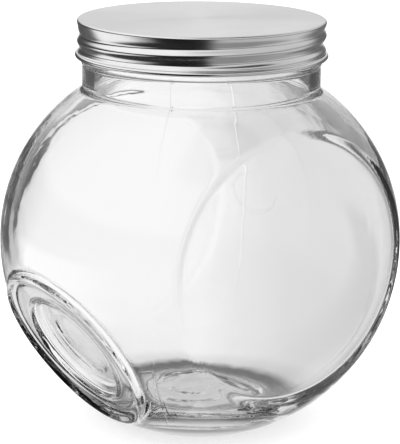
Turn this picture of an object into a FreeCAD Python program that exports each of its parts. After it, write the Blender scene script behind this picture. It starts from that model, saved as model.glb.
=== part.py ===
"""Glass storage jar with a rolled metal screw lid.

The jar is a squashed glass globe with two round flat faces, so that it can
also lie on its side, and a third round foot on its lower rim, so that it can
stand tilted with its mouth towards the user.  All lengths are millimetres.

Frame: +Z up, origin in the middle of the base, the two flat faces look along
-Y and +Y, and the tilted foot looks along -X and down.
"""
import FreeCAD
import Part
import math
import os

import Sketcher

Vector = FreeCAD.Vector
Rotation = FreeCAD.Rotation

# ---------------------------------------------------------------------------
# Driving dimensions
# ---------------------------------------------------------------------------
DIMENSIONS = [
    # alias, value, what it is
    ("body_radius", 92.4, "globe, half of its greatest width"),
    ("base_radius", 36.9, "circle where the globe is cut flat to stand"),
    ("shoulder_rise", 70.6, "from the widest level up to the foot of the neck"),
    ("flat_distance", 68.0, "from the axis to each of the two side faces"),
    ("flat_round", 6.5, "rounding of the rim of a side face"),
    ("heel_round", 7.0, "rounding of the rim of the base"),
    ("wall", 3.5, "glass at the widest level and in the shoulder"),
    ("floor_thickness", 6.8, "glass from the table to the inside floor"),
    ("floor_radius", 30.0, "flat circle of the inside floor"),
    ("base_recess_radius", 27.0, "push-up under the base"),
    ("base_recess_depth", 2.8, "depth of the push-up"),
    ("foot_radius", 41.5, "circle that the tilted foot cuts from the globe"),
    ("foot_tilt", 31.0, "degrees that the foot looks down from level"),
    ("foot_round", 6.0, "rounding of the rim of the foot"),
    ("foot_wall", 3.6, "glass behind the ring of the foot"),
    ("foot_recess_radius", 24.8, "dished middle of the foot"),
    ("foot_recess_depth", 5.0, "depth of the dished middle"),
    ("recess_round", 1.2, "rounding of the rims of both recesses"),
    ("neck_radius", 54.4, "outside of the neck"),
    ("neck_wall", 5.2, "glass in the neck"),
    ("neck_height", 30.4, "from the foot of the neck to the rim"),
    ("neck_root_round", 3.0, "hollow where the neck grows from the shoulder"),
    ("finish_step", 0.8, "the threaded part is this much slimmer than the neck"),
    ("bead_height", 2.4, "bead round the neck, just under the lid"),
    ("bead_bulge", 0.6, "how far the bead stands out from the neck"),
    ("bead_gap", 0.4, "air between the bead and the lid"),
    ("rim_round", 1.6, "rounding of the rim"),
    ("liner_thickness", 0.7, "sealing disc inside the lid"),
    ("liner_clearance", 0.6, "air round the sealing disc"),
    ("lid_height", 17.4, "lid from its top to the underside of its curl"),
    ("lid_sheet", 0.5, "thickness of the lid's sheet metal"),
    ("thread_room", 2.0, "from the glass to the inside of the skirt"),
    ("lid_edge_round", 1.4, "rounding between the lid's top and its skirt"),
    ("lid_band_height", 6.0, "smooth band below the lid's top edge"),
    ("lid_roll_depth", 0.9, "how far band and rolled ridge stand out"),
    ("lid_roll_height", 3.6, "height of the rolled ridge"),
    ("curl_radius", 1.15, "half the thickness of the curled bottom edge"),
    ("curl_reach", 1.5, "the curl stands out this much from the skirt"),
]


def make_sheet(doc):
    """Write the driving dimensions as plain numbers with an alias each."""
    sheet = doc.addObject("Spreadsheet::Sheet", "Dims")
    for row, (alias, value, meaning) in enumerate(DIMENSIONS, start=1):
        sheet.set(f"A{row}", str(value))
        sheet.setAlias(f"A{row}", alias)
        sheet.set(f"B{row}", meaning)
    doc.recompute()
    return sheet


# ---------------------------------------------------------------------------
# Sizes that follow from the driving dimensions, as expressions
# ---------------------------------------------------------------------------
def centre_offset(radius, end_radius, rise):
    """Distance from the axis to the centre of an arc that leaves the widest
    level upright at `radius` and ends at `end_radius`, `rise` away."""
    return f"(({radius})^2 - ({end_radius})^2 - ({rise})^2) / (2 * (({radius}) - ({end_radius})))"


EQUATOR = "sqrt(Dims.body_radius^2 - Dims.base_radius^2)"
NECK_ROOT = f"({EQUATOR} + Dims.shoulder_rise)"
RIM = f"({NECK_ROOT} + Dims.neck_height)"
LID_TOP = f"({RIM} + Dims.liner_thickness + Dims.lid_sheet)"
LID_BOTTOM = f"({LID_TOP} - Dims.lid_height)"
BEAD_TOP = f"({LID_BOTTOM} - Dims.bead_gap)"
BEAD_BOTTOM = f"({BEAD_TOP} - Dims.bead_height)"
FINISH_RADIUS = "(Dims.neck_radius - Dims.finish_step)"
BORE_RADIUS = "(Dims.neck_radius - Dims.neck_wall)"
SHOULDER_CENTRE = centre_offset("Dims.body_radius", "Dims.neck_radius", "Dims.shoulder_rise")
INNER_RADIUS = "(Dims.body_radius - Dims.wall)"
INNER_SHOULDER = f"({INNER_RADIUS} - ({SHOULDER_CENTRE}))"
BORE_ROOT = (f"({EQUATOR} + sqrt({INNER_SHOULDER}^2"
             f" - ({BORE_RADIUS} - ({SHOULDER_CENTRE}))^2))")
FOOT_DISTANCE = "sqrt(Dims.body_radius^2 - Dims.foot_radius^2)"
SKIRT_INSIDE = f"({FINISH_RADIUS} + Dims.thread_room)"
SKIRT_RADIUS = f"({SKIRT_INSIDE} + Dims.lid_sheet)"
LID_RADIUS = f"({SKIRT_RADIUS} + Dims.lid_roll_depth)"


class Profile:
    """A closed outline in a body's XZ plane, drawn point by point.

    Every point is held by its distance from the axis and its height, each an
    expression on the sheet.  A stretch between two points is straight, or an
    arc that is held by the place of its centre or by its radius.
    """

    def __init__(self, body, name):
        self.body = body
        self.sketch = body.newObject("Sketcher::SketchObject", name)
        self.sketch.AttachmentSupport = [(origin_plane(body, "XZ_Plane"), "")]
        self.sketch.MapMode = "FlatFace"
        self.points = []
        self.arcs = {}

    def value(self, expression):
        return float(self.sketch.evalExpression(expression))

    def point(self, radius, height):
        self.points.append((radius, height))
        return self

    def arc(self, centre=None, bulge=None):
        """The stretch from the last point to the next one is an arc: round
        `centre`, or standing out by `bulge` to the right of the way drawn."""
        self.arcs[len(self.points) - 1] = (centre, bulge)
        return self

    def middle(self, start, end, centre, bulge):
        """A point on the arc, to draw it on the right side."""
        chord = end.sub(start)
        half = start.add(end).multiply(0.5)
        if bulge is not None:
            side = Vector(chord.y, -chord.x, 0).normalize()
            return half.add(side.multiply(self.value(bulge)))
        heart = Vector(self.value(centre[0]), self.value(centre[1]), 0)
        away = half.sub(heart).normalize()
        return heart.add(away.multiply(start.sub(heart).Length))

    def close(self):
        """Draw the outline and tie every point to the sheet."""
        sketch = self.sketch
        corners = [Vector(self.value(r), self.value(z), 0) for r, z in self.points]
        count = len(corners)
        starts = {}
        for index, start in enumerate(corners):
            end = corners[(index + 1) % count]
            if index in self.arcs:
                centre, bulge = self.arcs[index]
                middle = self.middle(start, end, centre, bulge)
                arc = Part.Arc(start, middle, end)
                edge = sketch.addGeometry(arc, False)
                # a sketch stores arcs anticlockwise: find which end is which
                first = sketch.getPoint(edge, 1)
                forward = first.distanceToPoint(start) < first.distanceToPoint(end)
                starts[index] = (edge, 1 if forward else 2, 2 if forward else 1)
            else:
                edge = sketch.addGeometry(Part.LineSegment(start, end), False)
                starts[index] = (edge, 1, 2)
        for index in range(count):
            edge, _, tail = starts[index]
            following, head, _ = starts[(index + 1) % count]
            sketch.addConstraint(Sketcher.Constraint("Coincident", edge, tail, following, head))
        for index, (radius, height) in enumerate(self.points):
            edge, head, _ = starts[index]
            self.hold(edge, head, "DistanceX", radius)
            self.hold(edge, head, "DistanceY", height)
        for index, (centre, bulge) in self.arcs.items():
            edge = starts[index][0]
            if bulge is None:
                self.hold(edge, 3, "DistanceY", centre[1])
                continue
            start = self.points[index]
            end = self.points[(index + 1) % count]
            half = (f"(sqrt((({end[0]}) - ({start[0]}))^2"
                    f" + (({end[1]}) - ({start[1]}))^2) / 2)")
            radius = f"({half}^2 + ({bulge})^2) / (2 * abs({bulge}))"
            item = sketch.addConstraint(
                Sketcher.Constraint("Radius", edge, self.value(radius)))
            sketch.setExpression(f"Constraints[{item}]", radius)
        return sketch

    def hold(self, edge, position, kind, expression):
        """Tie one coordinate of a point, zero by the axis it lies on."""
        number = self.value(expression)
        if expression == "0":
            axis = -2 if kind == "DistanceX" else -1
            self.sketch.addConstraint(
                Sketcher.Constraint("PointOnObject", edge, position, axis))
            return
        item = self.sketch.addConstraint(
            Sketcher.Constraint(kind, edge, position, number))
        self.sketch.setExpression(f"Constraints[{item}]", expression)


# ---------------------------------------------------------------------------
# Helpers for bodies and features
# ---------------------------------------------------------------------------
def origin_plane(body, role):
    return next(item for item in body.Origin.OriginFeatures if item.Role == role)


def make_body(doc, name):
    body = doc.addObject("PartDesign::Body", name)
    body.Label = name
    return body


def revolve(body, sketch, name):
    feature = body.newObject("PartDesign::Revolution", name)
    feature.Profile = sketch
    feature.ReferenceAxis = (sketch, ["V_Axis"])
    feature.Angle = 360
    body.Document.recompute()
    return feature


def circle_sketch(body, name, radius):
    """A circle round the sketch's own origin on the XY plane."""
    sketch = body.newObject("Sketcher::SketchObject", name)
    sketch.AttachmentSupport = [(origin_plane(body, "XY_Plane"), "")]
    sketch.MapMode = "FlatFace"
    start = float(sketch.evalExpression(radius))
    edge = sketch.addGeometry(Part.Circle(Vector(), Vector(0, 0, 1), start), False)
    sketch.addConstraint(Sketcher.Constraint("Coincident", edge, 3, -1, 1))
    item = sketch.addConstraint(Sketcher.Constraint("Radius", edge, start))
    sketch.setExpression(f"Constraints[{item}]", radius)
    return sketch


def face_outwards(sketch, azimuth, tilt, distance):
    """Move a sketch out from the globe's centre along a direction that is
    `azimuth` degrees round from +X and `tilt` degrees below level, and turn
    it to look that way.  Its own normal then points away from the glass."""
    spin = Rotation(Vector(0, 0, 1), azimuth)
    degrees = float(sketch.evalExpression(tilt))
    sketch.AttachmentOffset = FreeCAD.Placement(
        Vector(), spin.multiply(Rotation(Vector(0, 1, 0), 90 + degrees)))
    sketch.setExpression("AttachmentOffset.Base.x",
                         f"({distance}) * cos({tilt}) * cos({azimuth})")
    sketch.setExpression("AttachmentOffset.Base.y",
                         f"({distance}) * cos({tilt}) * sin({azimuth})")
    sketch.setExpression("AttachmentOffset.Base.z",
                         f"{EQUATOR} - ({distance}) * sin({tilt})")


def cut(body, sketch, name, depth, outwards):
    """Cut material away from a sketch, out of the glass or into it."""
    before = body.Shape.Volume
    pocket = body.newObject("PartDesign::Pocket", name)
    pocket.Profile = sketch
    pocket.Type = 0
    pocket.setExpression("Length", depth)
    pocket.Reversed = outwards
    body.Document.recompute()
    if body.Shape.Volume >= before:
        raise RuntimeError(f"{name} cut nothing")
    return pocket


def circle_edges(shape, centre, normal, least, most):
    """Names of the edges that lie in the plane through `centre` square to
    `normal`, between `least` and `most` away from `centre`."""
    names = []
    for number, edge in enumerate(shape.Edges, start=1):
        samples = [edge.valueAt(u) for u in edge_parameters(edge)]
        flat = all(abs(p.sub(centre).dot(normal)) < 1e-3 for p in samples)
        reach = [p.sub(centre).Length for p in samples]
        if flat and least <= min(reach) and max(reach) <= most:
            names.append(f"Edge{number}")
    return names


def edge_parameters(edge, steps=4):
    first, last = edge.ParameterRange
    return [first + (last - first) * step / steps for step in range(steps + 1)]


def soften(body, name, edges, radius):
    """Round the named edges of the body's present shape."""
    if not edges:
        raise RuntimeError(f"{name} found no edge to round")
    rounded = body.Tip
    fillet = body.newObject("PartDesign::Fillet", name)
    fillet.Base = (rounded, edges)
    fillet.setExpression("Radius", radius)
    body.Document.recompute()
    if "Invalid" in fillet.State:
        raise RuntimeError(f"{name} could not be rounded")
    return fillet


def side_of(azimuth, tilt=0.0):
    """Unit direction at `azimuth` from +X and `tilt` below level."""
    level = math.cos(math.radians(tilt))
    return Vector(level * math.cos(math.radians(azimuth)),
                  level * math.sin(math.radians(azimuth)),
                  -math.sin(math.radians(tilt)))


FLAT_SIDES = (("front", -90), ("back", 90))
FOOT_AZIMUTH = 180


# ---------------------------------------------------------------------------
# The glass
# ---------------------------------------------------------------------------
def glass_blank(doc):
    """The outside of the glass, as if it were solid."""
    body = make_body(doc, "jar_outside")
    outline = Profile(body, "outside_profile")
    outline.point("0", "0")
    outline.point("Dims.base_radius", "0").arc(centre=("0.0", EQUATOR))
    outline.point("Dims.body_radius", EQUATOR).arc(centre=(SHOULDER_CENTRE, EQUATOR))
    outline.point("Dims.neck_radius", NECK_ROOT)
    outline.point("Dims.neck_radius", BEAD_BOTTOM).arc(bulge="Dims.bead_bulge")
    outline.point("Dims.neck_radius", BEAD_TOP)
    outline.point(FINISH_RADIUS, BEAD_TOP)
    outline.point(FINISH_RADIUS, RIM)
    outline.point("0", RIM)
    revolve(body, outline.close(), "globe_and_neck")
    cut_side_faces(body)
    cut_foot(body)
    round_outside(body)
    dish_foot(body)
    dish_base(body)
    return body


def cut_side_faces(body):
    """Two parallel round faces, one on each side."""
    for side, azimuth in FLAT_SIDES:
        sketch = circle_sketch(body, f"{side}_face_sketch", "Dims.body_radius")
        face_outwards(sketch, azimuth, "0", "Dims.flat_distance")
        cut(body, sketch, f"{side}_face", "Dims.body_radius", True)


def cut_foot(body):
    """The round foot on the lower rim, for the tilted stand."""
    sketch = circle_sketch(body, "foot_sketch", "Dims.body_radius")
    face_outwards(sketch, FOOT_AZIMUTH, "Dims.foot_tilt", FOOT_DISTANCE)
    cut(body, sketch, "foot_face", "Dims.body_radius", True)


def round_outside(body):
    """Blown glass has no sharp corner: round the rims of all the cut faces."""
    sheet = body.Document.Dims
    heart = Vector(0, 0, float(sheet.evalExpression(EQUATOR)))
    everything = 2 * sheet.body_radius
    for side, azimuth in FLAT_SIDES:
        normal = side_of(azimuth)
        centre = heart.add(Vector(normal).multiply(sheet.flat_distance))
        edges = circle_edges(body.Shape, centre, normal, 1, everything)
        soften(body, f"{side}_face_rim", edges, "Dims.flat_round")
    normal = side_of(FOOT_AZIMUTH, sheet.foot_tilt)
    distance = float(sheet.evalExpression(FOOT_DISTANCE))
    centre = heart.add(Vector(normal).multiply(distance))
    edges = circle_edges(body.Shape, centre, normal, 1, everything)
    soften(body, "foot_rim", edges, "Dims.foot_round")
    up = Vector(0, 0, 1)
    edges = circle_edges(body.Shape, Vector(), up, 1, sheet.body_radius)
    soften(body, "heel", edges, "Dims.heel_round")
    root = Vector(0, 0, float(sheet.evalExpression(NECK_ROOT)))
    edges = circle_edges(body.Shape, root, up, 1, sheet.body_radius)
    soften(body, "neck_root", edges, "Dims.neck_root_round")
    rim = Vector(0, 0, float(sheet.evalExpression(RIM)))
    edges = circle_edges(body.Shape, rim, up, 1, sheet.body_radius)
    soften(body, "outer_rim", edges, "Dims.rim_round")


def dish_foot(body):
    """The sunk middle of the tilted foot, with a soft rim."""
    sheet = body.Document.Dims
    sketch = circle_sketch(body, "foot_recess_sketch", "Dims.foot_recess_radius")
    face_outwards(sketch, FOOT_AZIMUTH, "Dims.foot_tilt", FOOT_DISTANCE)
    cut(body, sketch, "foot_recess", "Dims.foot_recess_depth", False)
    normal = side_of(FOOT_AZIMUTH, sheet.foot_tilt)
    distance = float(sheet.evalExpression(FOOT_DISTANCE))
    heart = Vector(0, 0, float(sheet.evalExpression(EQUATOR)))
    edges = []
    for depth in (0, sheet.foot_recess_depth):
        centre = heart.add(Vector(normal).multiply(distance - depth))
        limit = sheet.foot_recess_radius + 1e-3
        edges += circle_edges(body.Shape, centre, normal, 1, limit)
    soften(body, "foot_recess_rims", edges, "Dims.recess_round")


def dish_base(body):
    """The push-up under the base, so that the jar stands on a ring."""
    sheet = body.Document.Dims
    sketch = circle_sketch(body, "base_recess_sketch", "Dims.base_recess_radius")
    cut(body, sketch, "base_recess", "Dims.base_recess_depth", True)
    up = Vector(0, 0, 1)
    edges = []
    for height in (0, sheet.base_recess_depth):
        limit = sheet.base_recess_radius + 1e-3
        edges += circle_edges(body.Shape, Vector(0, 0, height), up, 1, limit)
    soften(body, "base_recess_rims", edges, "Dims.recess_round")


def hollow_of_glass(doc):
    """The space inside, which is taken out of the blank."""
    body = make_body(doc, "jar_inside")
    inner_floor = "Dims.floor_thickness"
    floor_centre = centre_offset(INNER_RADIUS, "Dims.floor_radius",
                                 f"{EQUATOR} - {inner_floor}")
    outline = Profile(body, "inside_profile")
    outline.point("0", inner_floor)
    outline.point("Dims.floor_radius", inner_floor).arc(centre=(floor_centre, EQUATOR))
    outline.point(INNER_RADIUS, EQUATOR).arc(centre=(SHOULDER_CENTRE, EQUATOR))
    outline.point(BORE_RADIUS, BORE_ROOT)
    outline.point(BORE_RADIUS, f"{RIM} + Dims.wall")
    outline.point("0", f"{RIM} + Dims.wall")
    revolve(body, outline.close(), "inside_of_globe")
    sheet = doc.Dims
    heart = Vector(0, 0, float(sheet.evalExpression(EQUATOR)))
    everything = 2 * sheet.body_radius
    for side, azimuth in FLAT_SIDES:
        sketch = circle_sketch(body, f"inner_{side}_sketch", "Dims.body_radius")
        face_outwards(sketch, azimuth, "0", "Dims.flat_distance - Dims.wall")
        cut(body, sketch, f"inner_{side}", "Dims.body_radius", True)
    sketch = circle_sketch(body, "inner_foot_sketch", "Dims.body_radius")
    face_outwards(sketch, FOOT_AZIMUTH, "Dims.foot_tilt", f"{FOOT_DISTANCE} - Dims.foot_wall")
    cut(body, sketch, "inner_foot", "Dims.body_radius", True)
    for side, azimuth in FLAT_SIDES:
        normal = side_of(azimuth)
        reach = sheet.flat_distance - sheet.wall
        centre = heart.add(Vector(normal).multiply(reach))
        edges = circle_edges(body.Shape, centre, normal, 1, everything)
        soften(body, f"inner_{side}_rim", edges, "Dims.flat_round - Dims.wall")
    normal = side_of(FOOT_AZIMUTH, sheet.foot_tilt)
    reach = float(sheet.evalExpression(f"{FOOT_DISTANCE} - Dims.foot_wall"))
    centre = heart.add(Vector(normal).multiply(reach))
    edges = circle_edges(body.Shape, centre, normal, 1, everything)
    soften(body, "inner_foot_rim", edges, "Dims.foot_round - Dims.foot_wall")
    edges = circle_edges(body.Shape, Vector(0, 0, sheet.floor_thickness), Vector(0, 0, 1),
                         1, sheet.body_radius)
    soften(body, "inner_floor_rim", edges, "Dims.heel_round")
    raise_inside_of_foot(body)
    return body


def raise_inside_of_foot(body):
    """The glass behind the dished middle is pushed in with it."""
    sketch = circle_sketch(body, "pad_sketch", "Dims.foot_recess_radius + Dims.wall")
    face_outwards(sketch, FOOT_AZIMUTH, "Dims.foot_tilt", f"{FOOT_DISTANCE} - Dims.foot_wall")
    cut(body, sketch, "pad", "Dims.foot_recess_depth", False)


def make_jar(doc):
    """The jar: the blank less its inside."""
    blank = glass_blank(doc)
    hollow = hollow_of_glass(doc)
    jar = doc.addObject("Part::Cut", "jar")
    jar.Label = "jar"
    jar.Base = blank
    jar.Tool = hollow
    doc.recompute()
    return jar


# ---------------------------------------------------------------------------
# The lid and its sealing disc
# ---------------------------------------------------------------------------
def make_lid(doc):
    """A pressed and rolled metal lid: band, rolled ridge, skirt and curl."""
    body = make_body(doc, "lid")
    band_end = f"({LID_TOP} - Dims.lid_band_height)"
    neck_in = f"({band_end} - Dims.lid_roll_depth)"
    ridge_end = f"({neck_in} - Dims.lid_roll_height)"
    curl_level = f"({LID_BOTTOM} + Dims.curl_radius)"
    curl_heart = f"({SKIRT_RADIUS} + Dims.curl_reach - Dims.curl_radius)"
    flare = f"({curl_level} + 2 * Dims.curl_radius)"
    edge = "Dims.lid_edge_round"
    sheet = "Dims.lid_sheet"
    outline = Profile(body, "lid_profile")
    outline.point("0", LID_TOP)
    outline.point(f"{LID_RADIUS} - {edge}", LID_TOP)
    outline.arc(centre=(f"{LID_RADIUS} - {edge}", f"{LID_TOP} - {edge}"))
    outline.point(LID_RADIUS, f"{LID_TOP} - {edge}")
    outline.point(LID_RADIUS, band_end)
    outline.point(SKIRT_RADIUS, neck_in).arc(bulge="-Dims.lid_roll_depth")
    outline.point(SKIRT_RADIUS, ridge_end)
    outline.point(SKIRT_RADIUS, flare)
    outline.point(curl_heart, curl_level)
    outline.point(f"{curl_heart} - {sheet}", curl_level)
    outline.point(SKIRT_INSIDE, flare)
    outline.point(SKIRT_INSIDE, ridge_end).arc(bulge="Dims.lid_roll_depth")
    outline.point(SKIRT_INSIDE, neck_in)
    outline.point(f"{LID_RADIUS} - {sheet}", f"{band_end}")
    outline.point(f"{LID_RADIUS} - {sheet}", f"{LID_TOP} - {edge}")
    outline.arc(centre=(f"{LID_RADIUS} - {edge}", f"{LID_TOP} - {edge}"))
    outline.point(f"{LID_RADIUS} - {edge}", f"{LID_TOP} - {sheet}")
    outline.point("0", f"{LID_TOP} - {sheet}")
    revolve(body, outline.close(), "rolled_sheet")
    add_curl(body, curl_heart, curl_level)
    return body


def add_curl(body, curl_heart, curl_level):
    """The bottom edge, rolled into a closed bead."""
    sketch = body.newObject("Sketcher::SketchObject", "curl_profile")
    sketch.AttachmentSupport = [(origin_plane(body, "XZ_Plane"), "")]
    sketch.MapMode = "FlatFace"
    place = Vector(float(sketch.evalExpression(curl_heart)),
                   float(sketch.evalExpression(curl_level)), 0)
    radius = float(sketch.evalExpression("Dims.curl_radius"))
    edge = sketch.addGeometry(Part.Circle(place, Vector(0, 0, 1), radius), False)
    for kind, number, expression in (("DistanceX", place.x, curl_heart),
                                     ("DistanceY", place.y, curl_level)):
        item = sketch.addConstraint(Sketcher.Constraint(kind, edge, 3, number))
        sketch.setExpression(f"Constraints[{item}]", expression)
    item = sketch.addConstraint(Sketcher.Constraint("Radius", edge, radius))
    sketch.setExpression(f"Constraints[{item}]", "Dims.curl_radius")
    revolve(body, sketch, "curl")


def make_liner(doc):
    """A soft disc in the lid, which closes on the rim of the glass."""
    body = make_body(doc, "lid_liner")
    radius = f"{SKIRT_INSIDE} - Dims.liner_clearance"
    outline = Profile(body, "liner_profile")
    outline.point("0", RIM)
    outline.point(radius, RIM)
    outline.point(radius, f"{RIM} + Dims.liner_thickness")
    outline.point("0", f"{RIM} + Dims.liner_thickness")
    revolve(body, outline.close(), "sealing_disc")
    return body


# ---------------------------------------------------------------------------
# Build, check and write
# ---------------------------------------------------------------------------
def check_document(doc):
    """Stop when an object failed without saying so."""
    doc.recompute()
    for item in doc.Objects:
        bad = [state for state in item.State if state in ("Invalid", "Error")]
        if bad:
            raise RuntimeError(f"{item.Label} is {bad}")


def check_part(part):
    shape = part.Shape
    if shape.isNull() or not shape.isValid() or len(shape.Solids) != 1:
        raise RuntimeError(f"{part.Label} is not one valid solid")


def main():
    doc = FreeCAD.newDocument("glass_storage_jar")
    make_sheet(doc)
    parts = [make_jar(doc), make_lid(doc), make_liner(doc)]
    check_document(doc)
    os.makedirs("parts", exist_ok=True)
    for part in parts:
        check_part(part)
        part.Shape.exportStep(f"parts/{part.Label}.step")
        box = part.Shape.BoundBox
        print(f"{part.Label}: {part.Shape.Volume / 1000:.1f} cm3, "
              f"x {box.XMin:.1f}..{box.XMax:.1f}, y {box.YMin:.1f}..{box.YMax:.1f}, "
              f"z {box.ZMin:.1f}..{box.ZMax:.1f}")


main()
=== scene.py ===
# %% [markdown]
# # A glass storage jar with a rolled metal lid
# The jar is a blown glass globe that stands upright on its base, lies on either
# of two flat side faces, or leans on a round foot low on its side.  A wide neck
# carries a pressed metal lid.  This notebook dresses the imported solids: it keeps
# their places and sizes, and makes the glass and the metal look like themselves.

# %% Load the frame
import bpy
import math
import numpy as np
from mathutils import Matrix, Vector, noise


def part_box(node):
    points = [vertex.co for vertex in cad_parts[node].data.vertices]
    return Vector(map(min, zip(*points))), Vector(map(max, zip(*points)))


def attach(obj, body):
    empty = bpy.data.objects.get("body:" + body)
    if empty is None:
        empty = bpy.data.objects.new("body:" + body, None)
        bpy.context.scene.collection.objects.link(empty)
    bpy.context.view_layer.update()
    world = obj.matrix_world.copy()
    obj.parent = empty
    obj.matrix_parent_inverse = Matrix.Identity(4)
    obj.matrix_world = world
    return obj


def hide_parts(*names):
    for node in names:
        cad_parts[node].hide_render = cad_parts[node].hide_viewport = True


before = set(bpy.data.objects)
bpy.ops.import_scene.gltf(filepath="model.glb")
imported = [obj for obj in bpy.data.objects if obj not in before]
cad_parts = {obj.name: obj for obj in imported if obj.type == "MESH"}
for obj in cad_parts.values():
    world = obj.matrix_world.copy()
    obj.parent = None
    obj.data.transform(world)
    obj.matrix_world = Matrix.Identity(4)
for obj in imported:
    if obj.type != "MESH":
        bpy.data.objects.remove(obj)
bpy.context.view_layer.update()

scene = bpy.context.scene

# %% [markdown]
# ## Sizes
# All lengths are metres.  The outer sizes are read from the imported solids, so
# that nothing has to be fitted later.  The rest are the few sizes of the glass
# that a box cannot tell: how thick it is, and where it is pressed flat.

# %% Sizes of the glass
MM = 0.001
jar_low, jar_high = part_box("jar")
lid_low, lid_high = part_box("lid")
liner_low, liner_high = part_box("lid_liner")

GLOBE = jar_high.x                      # half the greatest width
FLAT = jar_high.y                       # from the axis to a side face
RIM = jar_high.z
BASE = 36.9 * MM                        # circle that the globe stands on
EQUATOR = math.sqrt(GLOBE ** 2 - BASE ** 2)
WALL = 3.5 * MM
FLOOR = 6.8 * MM
FLOOR_RADIUS = 30.0 * MM
SHOULDER_RISE = 70.6 * MM
NECK = 54.4 * MM
NECK_WALL = 5.2 * MM
FINISH = NECK - 0.8 * MM                # the threaded part, slimmer than the neck
FOOT_TILT = math.radians(31.0)
FOOT_RADIUS = 41.5 * MM
FOOT_DISTANCE = math.sqrt(GLOBE ** 2 - FOOT_RADIUS ** 2)
print(f"globe {GLOBE / MM:.1f} mm, widest at {EQUATOR / MM:.1f} mm, rim at {RIM / MM:.1f} mm")
print(f"jar {(jar_high.y - jar_low.y) / MM:.1f} mm deep, lid {(lid_high.z - lid_low.z) / MM:.1f} mm high,"
      f" sealing disc {(liner_high.z - liner_low.z) / MM:.1f} mm thick")


# %% [markdown]
# ## The camera
# The jar is looked at from a little above, from the side of its tilted foot,
# with one flat face turned to the right.  A long lens from farther off keeps the
# globe round, where a short one close by would swell its middle.  The camera is
# turned by half a degree, as a hand-set tripod is.

# %% Camera
VIEW_AZIMUTH = math.radians(-37.04)
VIEW_RISE = math.radians(14.18)
VIEW_DISTANCE = 1.0
VIEW_ROLL = math.radians(0.52)
SENSOR = 36.0                           # millimetres, as the lens
LENS = 174.8
VIEW_SHIFT = 0.0339
TOWARDS_CAMERA = Vector((math.sin(VIEW_AZIMUTH), -math.cos(VIEW_AZIMUTH), 0))
RIGHT_HAND = Vector((math.cos(VIEW_AZIMUTH), math.sin(VIEW_AZIMUTH), 0))


def add_camera():
    """A long lens aimed at the middle of the globe."""
    data = bpy.data.cameras.new("camera")
    camera = bpy.data.objects.new("camera", data)
    scene.collection.objects.link(camera)
    level = math.cos(VIEW_RISE)
    back = Vector((math.sin(VIEW_AZIMUTH) * level, -math.cos(VIEW_AZIMUTH) * level,
                   math.sin(VIEW_RISE)))
    camera.location = Vector((0, 0, EQUATOR)) + back * VIEW_DISTANCE
    turn = back.to_track_quat("Z", "Y").to_matrix().to_4x4()
    camera.rotation_euler = (turn @ Matrix.Rotation(VIEW_ROLL, 4, "Z")).to_euler()
    data.sensor_width = SENSOR
    data.lens = LENS
    data.shift_y = VIEW_SHIFT
    scene.camera = camera
    return camera


camera = add_camera()
print("camera at", tuple(round(c, 3) for c in camera.location))


# %% [markdown]
# ## Small helpers
# Every operator works on what is selected.  The solids arrive selected, so each
# step first deselects everything and then picks its own object.  Many points
# are moved at once by reading them into an array and writing them back, which
# takes a moment where a loop over the points would take minutes.

# %% Helpers for objects
def pick(obj):
    """Make one object the only selected and active one."""
    if bpy.context.object and bpy.context.object.mode != "OBJECT":
        bpy.ops.object.mode_set(mode="OBJECT")
    bpy.ops.object.select_all(action="DESELECT")
    obj.select_set(True)
    bpy.context.view_layer.objects.active = obj


def coordinates(obj):
    """The vertex places of a mesh as an array with one row each."""
    places = np.empty(len(obj.data.vertices) * 3)
    obj.data.vertices.foreach_get("co", places)
    return places.reshape(-1, 3)


def move_to(obj, places):
    """Write the vertex places back."""
    obj.data.vertices.foreach_set("co", places.ravel())
    obj.data.update()


def face_centres(obj):
    centres = np.empty(len(obj.data.polygons) * 3)
    obj.data.polygons.foreach_get("center", centres)
    return centres.reshape(-1, 3)


def refine(obj, chosen):
    """Halve the chosen faces each way."""
    pick(obj)
    bpy.ops.object.mode_set(mode="EDIT")
    bpy.ops.mesh.select_mode(type="FACE")
    bpy.ops.mesh.select_all(action="DESELECT")
    bpy.ops.object.mode_set(mode="OBJECT")
    obj.data.polygons.foreach_set("select", chosen)
    bpy.ops.object.mode_set(mode="EDIT")
    bpy.ops.mesh.subdivide(number_cuts=1, smoothness=0)
    bpy.ops.object.mode_set(mode="OBJECT")


def count(obj):
    """Tell how many faces and triangles a piece has."""
    triangles = sum(len(face.vertices) - 2 for face in obj.data.polygons)
    print(f"{obj.name}: {len(obj.data.polygons)} faces, {triangles} triangles")


# %% [markdown]
# A turned piece starts as a half outline, drawn from point to point, and is
# spun round the upright axis.  A cylinder could be extruded and scaled ring by
# ring instead, but an outline shows the piece's section at a glance.  Its round
# stretches are worked out as arcs, so it has only the corners that its shape
# needs.

# %% Helpers for outlines
def arc(centre, radius, start, end, steps):
    """Points on an arc in the outline's plane; angles in degrees from level."""
    angles = np.radians(np.linspace(start, end, steps + 1))
    return [(centre[0] + radius * math.cos(a), centre[1] + radius * math.sin(a)) for a in angles]


def straight(start, end, steps):
    """Points along a straight run, without its first one."""
    return [(start[0] + (end[0] - start[0]) * k / steps,
             start[1] + (end[1] - start[1]) * k / steps) for k in range(1, steps + 1)]


def rounded_corner(before, corner, after, radius, steps):
    """Points of the arc that rounds a corner between two straight runs."""
    corner = Vector(corner)
    back = (Vector(before) - corner).normalized()
    ahead = (Vector(after) - corner).normalized()
    half = back.angle(ahead) / 2
    reach = radius / math.tan(half)
    first, last = corner + back * reach, corner + ahead * reach
    centre = corner + (back + ahead).normalized() * (radius / math.sin(half))
    a, b = first - centre, last - centre
    sweep = math.atan2(a.x * b.y - a.y * b.x, a.dot(b))
    points = []
    for k in range(steps + 1):
        turn = sweep * k / steps
        points.append((centre.x + a.x * math.cos(turn) - a.y * math.sin(turn),
                       centre.y + a.x * math.sin(turn) + a.y * math.cos(turn)))
    return points


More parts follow.
